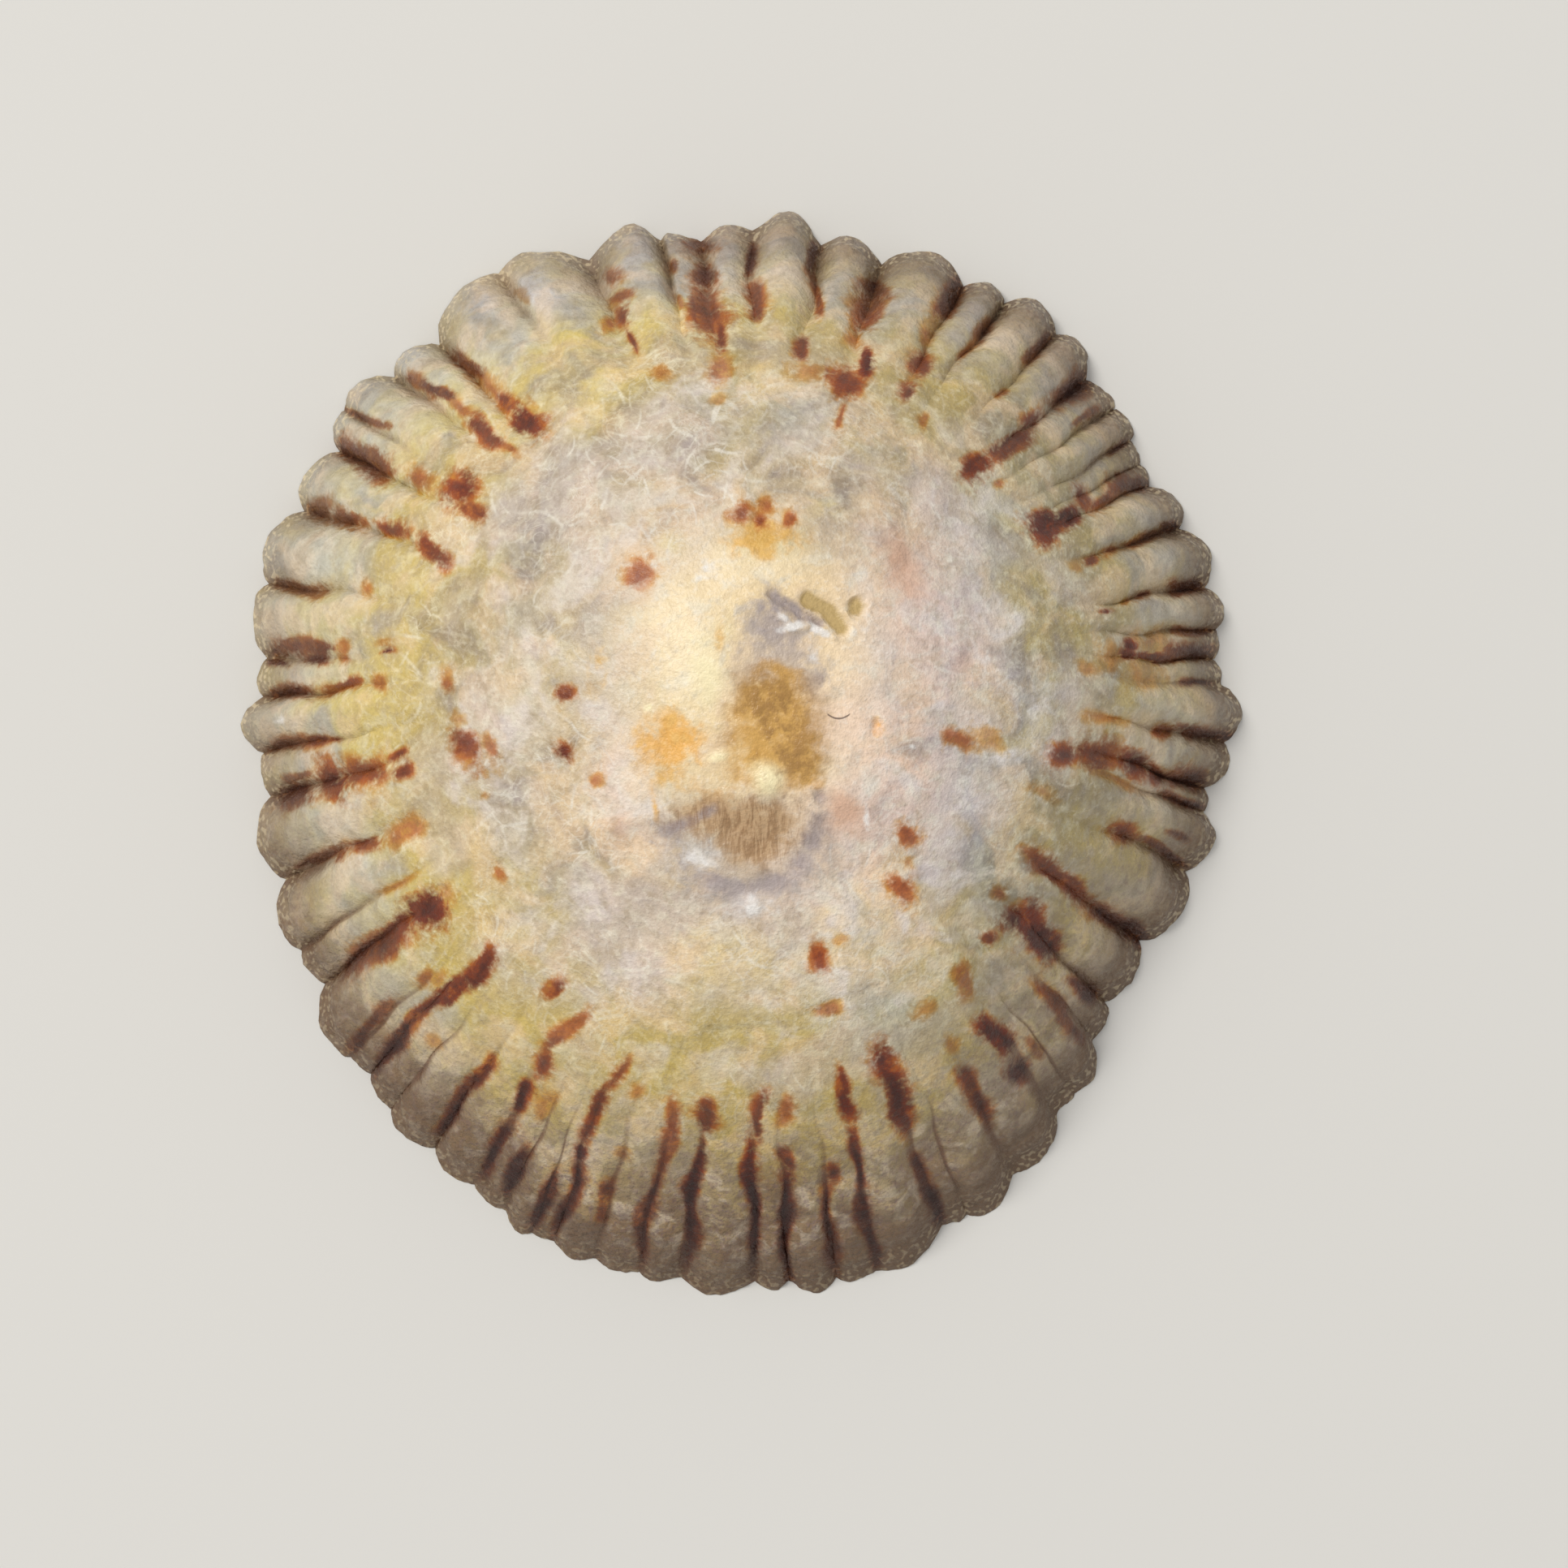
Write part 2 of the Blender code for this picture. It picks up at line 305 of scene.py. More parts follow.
mesh = bpy.data.meshes.new_from_object(seed_object.evaluated_get(bpy.context.evaluated_depsgraph_get()))
seed_object.modifiers.remove(layout)
bpy.data.objects.remove(seed_object)
bpy.data.objects.remove(rim_line)
mesh.name = "limpet shell"

# The crown, the oldest part of the shell, where weather has eaten through the outer layer.
# It has a bored tunnel with a broken edge, small round borings, chalky chips and a hollow where brown shows through.
# Each place is in millimetres from the apex, seen from above with the front end up.
CROWN_DENTS = (
    # height, softness of the edge, then the oval: x, y, half width, half length, and a turn in degrees
    (-0.08, 1, 0.55, -1.45, 0.95, 1.35),      # hollow of the brown patch
    (0.1, 1, 0.3, -2.92, 0.42, 0.42),         # bright knob below it
    (-0.07, 1, -1.83, -2.05, 0.7, 0.65),      # hollow under the amber stain
    (-0.05, 0.8, 0.46, 0.45, 1.15, 1),        # grey worn field above the brown patch
    (-0.12, 0.4, 2.25, 0.93, 0.24, 0.28),     # round boring
    (-0.1, 0.7, 2.68, -1.68, 0.15, 0.24),     # drop-shaped boring
    (-0.08, 0.6, 1.42, -3.23, 0.18, 0.18),    # small pit
    (0.04, 0.6, 1.42, -3.23, 0.34, 0.34),     # and its low wall
    (0.08, 0.8, -0.06, -5.6, 0.36, 0.34),     # pale bump under the crescent
    (-0.08, 0.7, 0, -4.1, 1.25, 0.8),         # striated fan
    (0.1, 1, -1.8, 0.3, 1.3, 1.7),            # smooth swelling at the left
    (0.06, 1, -0.8, -2.37, 0.3, 0.12, 10),    # small bright ridge
)
CROWN_GROOVES = (
    # height, softness of the edge, half width, points along it
    (-0.13, 0.45, 0.24, ((1.19, 1.12), (1.6, 0.9), (1.92, 0.48))),     # the bored tunnel
    (-0.12, 0.6, 0.14, ((0.38, 1.23), (1.04, 0.79), (1.41, 0.57))),    # the crack beside it
    (0.09, 0.6, 0.12, ((0.62, 0.72), (0.82, 0.48), (1.1, 0.48))),      # two chalky chips
    (0.07, 0.6, 0.09, ((1.2, 0.62), (1.48, 0.43), (1.75, 0.25))),
    (-0.05, 0.9, 0.32, ((-2.05, -4), (-1.16, -5), (-0.2, -5.25), (0.67, -4.94), (1.26, -4.35))),    # the crescent
    (-0.07, 1, 0.1, ((-1.08, -8.46), (0.54, -8.32), (1.62, -7.87), (2.7, -7.38))),    # a growth furrow
)


def read(rows, name, shape):
    """One value, or one vector, for each point of the shell."""
    values = np.empty(shape)
    rows.foreach_get(name, values.ravel())
    return values


point_count = len(mesh.vertices)
places, normals = (read(mesh.vertices, name, (point_count, 3)) for name in ("co", "normal"))
depths, outs = (read(mesh.attributes[name].data, "value", point_count) for name in ("depth", "out"))
x, y = places[:, 0] / MM, places[:, 1] / MM
is_outer = (depths < ON_OUTER_SIDE).astype(float)


def from_spot(centre_x, centre_y, half_width, half_length, turn=0):
    """How far each point is from the middle of an oval, as a part of the way to its edge."""
    c, s = math.cos(math.radians(turn)), math.sin(math.radians(turn))
    across, along = (x - centre_x) * c + (y - centre_y) * s, (y - centre_y) * c - (x - centre_x) * s
    return np.hypot(across / half_width, along / half_length)


def from_path(path):
    """How far each point is from a line through some places, in millimetres."""
    nearest = np.full(len(x), 1e9)
    for (ax, ay), (bx, by) in zip(path, path[1:]):
        dx, dy = bx - ax, by - ay
        along = np.clip(((x - ax) * dx + (y - ay) * dy) / (dx * dx + dy * dy), 0.0, 1.0)
        nearest = np.minimum(nearest, np.hypot(x - ax - along * dx, y - ay - along * dy))
    return nearest


def soft_edge(part, softness):
    """1 well inside an edge at part = 1, and 0 at it and outside."""
    t = np.clip((1.0 - part) / softness, 0.0, 1.0)
    return t * t * (3.0 - 2.0 * t)


dent = np.zeros(point_count)
for height, softness, *spot in CROWN_DENTS:
    dent += height * soft_edge(from_spot(*spot), softness)
for height, softness, half_width, path in CROWN_GROOVES:
    dent += height * soft_edge(from_path(path) / half_width, softness)
places += normals * (dent * is_outer * MM)[:, None]

# The marks, brown stain laid down in the grooves as the shell grew, so they are in the lime and not on it.
# Near the rim they are almost black-purple, and further in red-brown to orange, with a ragged edge.
# Bearings are from +X towards +Y about the apex; reaches are in millimetres from it.
MARKS = (
    # how deep the stain is, and the marks of that kind: from bearing, to bearing, outer reach, inner reach,
    # and for a few how many degrees the inner end leans over
    (1, (    # almost black
        (358.9, 361.1, 10.1, 9.1), (360, 361.8, 8.4, 8.2), (7.2, 8.8, 10, 9.3), (15.9, 17.1, 9.8, 9.45),
        (22.5, 26, 9.2, 8.65), (21.5, 24.5, 7.75, 7.2), (20.2, 25.5, 7.3, 6.65), (38, 41.5, 9.5, 8.65),
        (59.8, 62.5, 9.4, 8.45), (70, 74.5, 8.55, 8.3), (68.5, 70.5, 7.1, 6.5), (81, 82.5, 9.1, 8.45),
        (89.7, 91, 9, 8.3), (96.5, 99.5, 8.6, 8.15), (132.5, 136, 7.5, 6.75), (141.3, 142.7, 9.8, 8.7, -1.5),
        (152.3, 155, 10.3, 9), (178.5, 180, 10.6, 9.35), (180, 180.5, 10.8, 10.35), (181, 181.5, 10.8, 10.35),
        (180, 181.7, 9.9, 9.45), (180.3, 181.2, 8.2, 8), (184.2, 185.8, 10.8, 9.9), (196.5, 199, 11, 10.3),
        (194.7, 199.3, 10.05, 9.55), (216.3, 220.7, 9.6, 8.9), (227.3, 228.3, 12.6, 10.1), (227.5, 229.5, 10.45, 9.7),
        (236.3, 237.5, 12.8, 11.5), (242, 243.2, 13.1, 11.8), (241.5, 243, 11.45, 10.8), (244.9, 245.5, 13.2, 12.1),
        (248.6, 249.2, 13.7, 12.4), (250.8, 251.8, 11.9, 11.6), (263, 264.2, 13.7, 10.9), (269.3, 270.3, 13.7, 10.8),
        (280.5, 281.5, 13.9, 12.2), (287.3, 288.3, 13.4, 12.4), (301, 303.3, 11.25, 10.8), (301, 303.3, 10.5, 9.55),
        (313, 315, 10.8, 10.1), (312.3, 316.5, 9.45, 8.1), (322.3, 324.2, 10.8, 10.1), (333.2, 334.3, 10.6, 9.55),
        (340.3, 341.3, 10.5, 9.55), (342.3, 344.8, 10.35, 9.55), (341.8, 344.5, 9.55, 9.1),
        (348.8, 350.2, 10.8, 9.55), (358.7, 360, 9.6, 8.5),
    )),
    (0.9, (    # wine
        (22.5, 24.5, 9.5, 8.1), (36.5, 41, 6.65, 6), (134, 136, 9.4, 8.55), (149.1, 149.8, 10.5, 9.5, -1.2),
        (149.5, 154.3, 7.7, 7.1), (191.2, 192.3, 10.1, 9.65), (206, 210.5, 4.95, 4.65), (228, 230.3, 9.8, 8.8),
        (236.3, 237.5, 11.5, 10.9), (250.8, 251.6, 13.7, 11.9), (272.9, 273.5, 14, 11.5), (280.8, 282.2, 10.6, 9.45),
        (286.5, 289, 11.2, 9.2), (322.3, 324.2, 10.1, 9.4),
    )),
    (0.85, (    # purple-brown
        (6.4, 7, 7.9, 7.7), (23, 27, 8.1, 7.9), (96, 100, 9.2, 8.9), (101.7, 102.5, 8.8, 8.6),
        (161.3, 163.3, 10.35, 9.9), (217, 219.5, 11.5, 9.6), (280.6, 281.7, 12.2, 10.8), (341.3, 344.8, 9.1, 8.4),
        (355.5, 356.3, 10.1, 9.45), (358.7, 360, 8.4, 8.1),
    )),
    (0.78, (    # red-brown
        (2.2, 3, 10.1, 9.2), (7.4, 8.6, 8.8, 8.5), (15.3, 16.5, 9.3, 8.55), (15, 16.2, 7.8, 7.6),
        (28.9, 29.5, 9.45, 9), (34.3, 35.5, 9.3, 8.65), (38.5, 41, 8.2, 7.75), (37.2, 40, 7.75, 6.75),
        (46.5, 47.8, 9.6, 8.75), (53.8, 55.5, 9, 8.45), (58.5, 62, 7.55, 7.1), (57.5, 60.8, 6.8, 6.45),
        (69.8, 74.3, 8.4, 7.55), (68.5, 74.5, 6.5, 5.95), (80.8, 82, 8.45, 7.55, -2), (79.5, 81.5, 7, 6.5),
        (88, 91, 8.1, 7.3), (95.5, 101, 8.15, 7.05), (95.8, 98, 7.3, 6.65), (110, 112, 9, 8.7),
        (109, 112.5, 8.45, 8.3), (110, 113, 8.15, 7.75), (110.8, 111.5, 7.65, 7.1), (134, 136, 8, 7.55),
        (139.8, 142.3, 8.1, 7.2), (153, 155.5, 7.2, 6.65), (161.3, 163.3, 9.8, 9.2), (160, 162.5, 8.75, 8.15),
        (160.5, 162.8, 7.8, 7, 2.2), (171.3, 172.7, 10.8, 9.65), (184.2, 185.8, 9.55, 8.75), (191, 192.3, 11, 10.1),
        (191.3, 192.2, 9.55, 9.4), (195, 196, 10.8, 10.2), (195, 199.5, 9.5, 8.65), (195.5, 197, 8.4, 8),
        (198.3, 200, 8.4, 8), (195.8, 202, 6.95, 6.5), (205, 206, 11.2, 10.1), (206, 207.2, 10.35, 10.2),
        (205.7, 207, 9.9, 9.35), (224.1, 224.9, 12.6, 11.2), (236.3, 237.8, 11, 10.7), (242, 244, 10.55, 10),
        (237.8, 240, 8.9, 8.5), (250.8, 251.8, 11.5, 10.1), (254.5, 255.1, 13.1, 12.2), (259, 259.8, 13.8, 11.7),
        (262.8, 265, 10.7, 10), (270, 271.5, 10.8, 9.8), (273.3, 274.1, 11.5, 11), (277.1, 277.8, 13.9, 11.9),
        (277.7, 278.3, 11.9, 11.5), (287.3, 288.5, 12.4, 11.7), (295.3, 297, 11.7, 10.35), (309.5, 310.3, 11.3, 9.7),
        (308.5, 309.5, 8.3, 8.1), (322, 324.8, 9.3, 7.45), (332, 334.3, 9.35, 8.8), (336, 336.6, 10.5, 10),
        (340.4, 344.6, 8.4, 7.4), (339.3, 343, 7.5, 6.95), (348, 349.3, 9.35, 9), (280.5, 283.5, 7.2, 6.65),
        (191, 195.7, 4.45, 4.1),
    )),
    (0.64, (    # rust
        (241.7, 243.2, 10.1, 8.8, 3), (250.6, 252.2, 10.3, 9.45, 1), (259.2, 260.1, 11.9, 10.1),
        (299.5, 303.3, 6.5, 5.85), (308, 312, 5.5, 5.1), (335, 337, 4.95, 4.7), (141, 152.5, 3.25, 2.8),
        (91, 99.5, 3.2, 2.85), (72.5, 77.5, 3.1, 2.85), (85, 90, 2.95, 2.7),
    )),
    (0.48, (    # orange
        (7.5, 8.4, 8.35, 8.2), (15.3, 16.4, 8.3, 8), (33.1, 33.9, 6.6, 6.45), (45.7, 46.7, 8, 7.75),
        (54, 55.2, 8.4, 7.85), (53, 54, 6.4, 6.2), (59.8, 61.8, 8.1, 7.75), (69, 70.5, 5.75, 5.2), (95, 100, 6.5, 6),
        (101.5, 102.7, 8, 7.75), (113, 116, 8, 7.8), (134, 136, 8.55, 8), (140, 141.5, 8.7, 8.2),
        (140, 142, 7.2, 6.85), (151, 154, 8.55, 8.1), (161.5, 163, 9.2, 9), (178, 180, 9.2, 9),
        (180.2, 181.5, 9.15, 9), (184.5, 186.3, 8.45, 8.2), (184, 187, 6.95, 6.75), (198, 203.5, 6.3, 6.1),
        (206, 208.5, 9.1, 8.3), (220.5, 222.3, 7.55, 7.4), (224, 225, 10.45, 10.1), (273.4, 274.1, 10.5, 9.9),
        (301, 303.5, 9, 8.3), (304.5, 305.3, 11, 10.5), (315, 316, 7.75, 7.5), (279.5, 283.5, 8.2, 8),
        (334, 338, 5.2, 4.55), (218, 221, 4.65, 4.4), (83, 88, 3.3, 3.05),
    )),
    (0.32, (    # ochre
        (360, 363, 9.1, 8.5), (71, 74, 7.3, 7.1), (76, 82, 6.4, 6.1), (96, 99, 5.65, 5.5), (107, 110, 6.6, 6.3),
        (122.8, 124, 9.55, 9.2), (170.5, 172.3, 8.75, 8.6), (178.5, 179.5, 8.3, 8.1), (192.5, 195, 6.8, 6.6),
        (207.5, 208.5, 6.8, 6.7), (212.8, 213.6, 9.8, 9), (217, 219.5, 8.8, 8.5), (225, 226.5, 10.25, 9.9),
        (230.5, 231.5, 11.3, 11.1), (244.3, 246, 11.4, 10.8), (254.6, 255.4, 11.6, 11.4), (254.6, 255.4, 10.2, 10),
        (295.5, 297, 9.9, 9.6), (332.3, 335, 7.3, 6.85), (339.5, 340.5, 8.9, 7.9), (348, 349.5, 8.3, 7.4),
        (355.8, 357.5, 7.5, 7.2), (285.5, 287.5, 6.75, 6.6), (305.3, 306.7, 5.85, 5.7), (336.5, 340.5, 5.8, 5.2),
    )),
    (0.26, (    # olive
        (14.3, 15.8, 7.45, 7.25), (60, 62, 8.4, 8.1), (131, 132.5, 7.45, 7.2), (293, 296, 8.9, 8.65),
        (354.8, 358.5, 9, 8.3), (356.7, 360, 8.05, 7.65),
    )),
)
bearing, reach = np.degrees(np.arctan2(y, x)), np.hypot(x, y)
wander = 0.2 * np.sin(2.1 * reach + 0.31 * bearing) + 0.12 * np.sin(4.7 * reach - 0.53 * bearing)
swell = 1.0 + 0.18 * np.sin(3.3 * reach + 0.9 * bearing) + 0.12 * np.sin(7.9 * reach - 0.4 * bearing)
WIDEST = 0.22          # mm, over which the stain deepens from a mark's edge inward
SPREAD = 1.08          # how much wider the stain has spread than its darkest part
NARROWEST = 0.08       # mm, half the width of the thinnest line
BACK_LINES = (220.0, 320.0, 0.15)    # between these bearings, at the back, the lines are at least this half width
SQUARE_ENDED = 1.8     # marks longer than this, for their width, have squarer ends than spots
mark, stain, breadth = np.full(point_count, 9.0), np.zeros(point_count), np.full(point_count, WIDEST)
for tone, start, end, outer, inner, *lean in ((tone, *one) for tone, marks in MARKS for one in marks):
    middle = (start + end) / 2.0 + sum(lean) * np.clip((outer - reach) / (outer - inner), 0.0, 1.0)
    turned = np.radians((bearing + wander - middle + 180.0) % 360.0 - 180.0)
    half_width = math.radians(end - start) / 2.0 * (outer + inner) / 2.0
    at_back = BACK_LINES[0] < start < BACK_LINES[1]
    half_width = max(half_width * SPREAD, BACK_LINES[2] if at_back else NARROWEST)
    half_length = (outer - inner) / 2.0 + NARROWEST / 2.0
    across = turned * reach / (half_width * swell)
    along = (reach - (outer + inner) / 2.0) / half_length
    blunt = 4 if half_length > SQUARE_ENDED * half_width else 2
    size = min(half_width, half_length, WIDEST)
    beyond = (np.sqrt(across ** 2 + np.abs(along) ** blunt) - 1.0) * size
    nearer = beyond < mark
    mark = np.where(nearer, beyond, mark)
    stain, breadth = np.where(nearer, tone, stain), np.where(nearer, size, breadth)

# The stains and washes of colour in the lime, soft-edged clouds from a tenth of a millimetre to a few across.
# Blush and cream lie on the crown and beside it, frost at the right and above, and honey in the band of ribs; a grey
# band of painted shade lies at the edge of the belt, most of all at the right, where the flank turns from the lamp.
# Brown shows through in the hollow of the crown, over a striated fan and a slate crescent.
WASHES = {
    # strength, then the oval: x, y, half width, half length, and for a few the turn in degrees
    "blush": (
        (1, 3.9, 0.6, 1.5, 2.6, 10), (1, 3.4, -3.4, 1.8, 2.4), (0.9, 2.1, -2, 1.1, 1.6),
        (1, -2.9, -3.3, 0.7, 1.2, 10), (0.5, -2, 2.6, 1.5, 0.8, 30), (0.6, 5, -0.8, 0.7, 1.2),
        (0.7, 2.6, -5.2, 1.4, 1, 30),
    ),
    "frost": (
        (0.9, 5.2, -4.6, 0.9, 2, 15), (0.8, 5.5, 2.6, 0.9, 1.8, -20), (0.25, -4.5, 2.9, 1.4, 1.2),
        (0.6, 5.8, -1, 0.7, 1.6), (0.5, 0.6, 5.4, 2.2, 0.8), (0.4, -5.4, -1, 0.8, 1.6), (0.7, 3.2, -8, 1, 0.8, 30),
        (0.6, 5, -3.2, 0.8, 1.4), (0.8, -1.1, -4.35, 0.5, 0.25, -35), (0.6, 0.85, -4.4, 0.3, 0.3),
        (0.5, -2.6, -3.2, 0.5, 1, 10), (0.4, 2.9, -0.4, 0.6, 1.2),
    ),
    "honey": (
        (1, -3.6, 5.76, 1.1, 1), (0.7, -7.4, 1.26, 0.9, 1.4), (0.6, -8.3, -1.26, 1, 1), (0.5, -6.9, -4.3, 0.8, 0.9),
        (0.5, -6, 6, 1.2, 1.2), (0.9, 0.16, 2.41, 0.9, 0.5), (0.5, -0.6, 7.4, 2.4, 0.7), (1, 1.63, 3.22, 0.3, 0.28),
        (1, -3.77, 2.56, 0.36, 0.22), (1, -1.83, 2.34, 0.4, 0.32), (0.6, -2, -2.9, 0.5, 0.5),
        (0.5, 1.5, -2.6, 0.4, 0.3), (0.7, -3.9, -0.3, 0.7, 0.9), (0.9, -0.75, 0.2, 0.25, 0.6, -15),
        (0.4, -1.5, -0.9, 0.8, 0.6),
    ),
    # cream is the lime's own colour, and the spots at the right of the crown and behind it are also painted light,
    # lightening the side turned from the lamp
    "cream": (
        (1, -1.5, -0.1, 0.9, 1.3, 10), (0.5, -1.7, 0.9, 1, 1), (0.8, -0.6, 1.9, 0.5, 0.5),
        (0.6, -2.6, -3, 0.3, 0.7), (0.7, 0.5, 1.75, 0.6, 0.3, 20), (0.5, 1.9, -0.4, 0.9, 1.1),
        (0.5, 1.9, -2.6, 0.9, 1.1), (0.8, -0.5, -6.7, 2.6, 0.8), (0.7, 2.3, -5.9, 0.9, 1, -40),
        (0.6, 1.7, -5.2, 0.7, 0.9),
    ),
    # painted shade: a grey band at the edge of the belt, strongest at the right, on the side away from the lamp
    "dusk": (
        (0.9, 7.2, 1.5, 1, 2.6), (0.9, 6.9, -2.6, 1, 2.2, -10), (0.9, 5.8, 5.2, 1.4, 1, -40),
        (0.7, 5.4, -6.6, 1.3, 1, 40), (0.4, -6.2, 0.4, 0.6, 1.2), (0.4, 1, 6.9, 1.6, 0.7),
        (0.35, -5.4, -3.2, 0.7, 1, 30), (0.3, -3.6, 3.2, 1.8, 1, 40), (0.5, 4.9, 4.4, 2, 0.9, -45),
        (0.5, 3.2, 6.4, 1.3, 0.9, -20), (0.6, 5.4, -5.2, 1.3, 1.2), (0.25, 6, 0.2, 0.9, 2.4),
        (0.25, 4.5, -4.3, 1, 1.3, -45), (0.6, 7.9, 0, 0.7, 3), (0.7, 6.5, -4.7, 1, 1.4, -40),
        (0.5, 6.6, 4, 1, 1.3, 45),
    ),
    # painted highlights: glints on the bright knob, the small ridge and a spot at the left of the crown, with a
    # painted glow of pale lime round them
    "gleam": (
        (1, 0.3, -2.9, 0.34, 0.38), (0.45, -1.1, 0.35, 0.35, 0.75), (0.9, -0.8, -2.37, 0.34, 0.13, 10),
        (0.5, 0, -2.55, 0.45, 0.25), (1, -2.35, -1.28, 0.13, 0.1), (0.5, -0.95, -0.75, 0.45, 0.55),
    ),
    "drab": (
        (1, 0.65, -0.45, 0.9, 0.65), (0.9, 0.35, 0.45, 0.7, 0.75), (0.7, 0.3, -3.35, 0.6, 0.25),
    ),
    "umber": (
        (1, 0.5, -1.7, 0.95, 0.85, 10), (0.95, 0.3, -1.1, 0.8, 0.65), (1, 1, -2.45, 0.5, 0.6, 15),
        (0.85, 0.25, -2.35, 0.8, 0.45), (0.7, 0.55, -0.42, 0.5, 0.22, -15), (0.4, -0.2, -2.9, 0.9, 0.3),
    ),
    "fan": (
        (1, -0.2, -3.75, 1.35, 0.55), (0.9, 0.05, -4.35, 0.8, 0.5), (0.7, -1.4, -3.6, 0.6, 0.25, 20),
    ),
    "slate": (
        (0.5, 0.3, 0.95, 0.3, 0.5, 20), (1, -1.75, -3.9, 0.42, 0.16, 30), (0.6, -1.42, -4.55, 0.34, 0.14, -50),
        (0.9, -0.8, -5.12, 0.36, 0.15, -22), (0.7, -0.15, -5.22, 0.34, 0.14, 5), (1, 0.45, -5.12, 0.34, 0.16, 18),
        (0.8, 0.98, -4.72, 0.26, 0.22, 40), (0.7, 1.26, -4.25, 0.2, 0.42, -12), (0.6, 1.42, -3.23, 0.17, 0.17),
        (0.8, -1.1, -3.62, 0.3, 0.12, 30), (0.35, 1.35, -0.75, 0.3, 0.45), (0.4, 0.45, 0.25, 0.6, 0.6),
    ),
    "amber": (
        (1, -1.9, -2.1, 0.75, 0.8), (0.8, -2.2, -3.45, 0.09, 0.4, 8), (0.85, 0.2, 2.45, 0.95, 0.42),
        (0.5, -0.75, 0.35, 0.15, 0.45, -10), (0.7, -0.05, -2.45, 0.35, 0.25), (0.5, 1.35, -2.95, 0.2, 0.15),
        (0.7, 2.68, -1.72, 0.18, 0.24), (0.3, -3.45, -0.55, 0.55, 0.85), (0.4, -0.75, -3.15, 0.85, 0.3),
    ),
    "rose": (
        (1, 2, -3.6, 0.42, 0.6, 10), (0.7, 3.46, 1.38, 0.55, 0.85), (0.5, 3.2, 2.2, 0.5, 0.5),
        (0.5, -2.35, 1.35, 0.55, 0.45), (0.35, -2.9, -3.6, 0.35, 0.7), (0.3, 4.6, -0.4, 0.3, 0.5),
    ),
    "tan": (
        (1, 2.25, 0.93, 0.25, 0.3),
    ),
    # chalky chips, and two painted glints: the small spot at 3.46, -2.15 and the highlight on a rib at -10.5, -1.56
    "chalk": (
        (1, 0.82, 0.5, 0.3, 0.1, 10), (1, 1.45, 0.42, 0.3, 0.08, -35), (0.9, 0.62, 0.72, 0.16, 0.1, -30),
        (1, 3.46, -2.15, 0.07, 0.07), (0.7, 0, -5.6, 0.28, 0.26), (0.7, -1.25, -4.62, 0.5, 0.22, -35),
        (0.4, 0.55, -5.55, 0.6, 0.16, 8), (0.8, 2.47, -3.7, 0.07, 0.35), (0.5, 2.45, 0.45, 0.28, 0.1, 20),
        (0.4, 1.3, -0.15, 0.2, 0.4), (0.4, -1, 1.75, 0.35, 0.35), (0.3, -0.2, -5.75, 0.9, 0.18),
        (0.9, -10.5, -1.56, 0.15, 0.12),
    ),
}
# The bored tunnel, the cracks and the crescent: strength, half width, points along each
STREAKS = {
    "tan": (
        (1, 0.21, ((1.19, 1.12), (1.6, 0.9), (1.92, 0.48))),
    ),
    "slate": (
        (1, 0.15, ((0.38, 1.23), (1.04, 0.79), (1.41, 0.57))), (0.6, 0.12, ((0.5, 0.95), (0.62, 0.5))),
        (0.5, 0.46, ((-2.05, -4.1), (-1.3, -5.05), (-0.25, -5.45), (0.7, -5.2), (1.4, -4.5), (1.5, -3.8))),
    ),
}
washes = {}
for name, spots in WASHES.items():
    clear = np.ones(point_count)
    for strength, *spot in spots:
        clear *= 1.0 - strength * np.exp(-from_spot(*spot) ** 2)
    for strength, half_width, path in STREAKS.get(name, ()):
        clear *= 1.0 - strength * np.exp(-(from_path(path) / half_width) ** 2)
    washes[name] = 1.0 - clear
# The brown film, at bearings round the rim: how strong it is there, and the part of the way out where it begins
FILM = ((0, 0.2, 0.78), (50, 0.25, 0.76), (95, 0.3, 0.8), (140, 0.05, 0.9), (185, 0.25, 0.88), (215, 0.8, 0.86),
        (235, 0.95, 0.8), (265, 1.0, 0.72), (310, 0.6, 0.7), (360, 0.2, 0.78))
# and the thin dark seams along the grooves, which run in furthest below the crown
SEAMS = ((0, 0.4, 0.86), (60, 0.3, 0.88), (120, 0.3, 0.9), (180, 0.5, 0.88), (225, 0.8, 0.78), (265, 1.0, 0.74),
         (300, 0.8, 0.76), (330, 0.5, 0.84), (360, 0.4, 0.86))
LEAD, RISE = 0.06, 0.24    # the parts of the way out before its start, and over which it grows to full strength
for name, knots in (("film", FILM), ("seam", SEAMS)):
    at, strengths, starts = zip(*knots)
    rising = np.clip((outs - np.interp(bearing % 360.0, at, starts) + LEAD) / RISE, 0.0, 1.0)
    washes[name] = np.interp(bearing % 360.0, at, strengths) * rising * rising * (3.0 - 2.0 * rising)

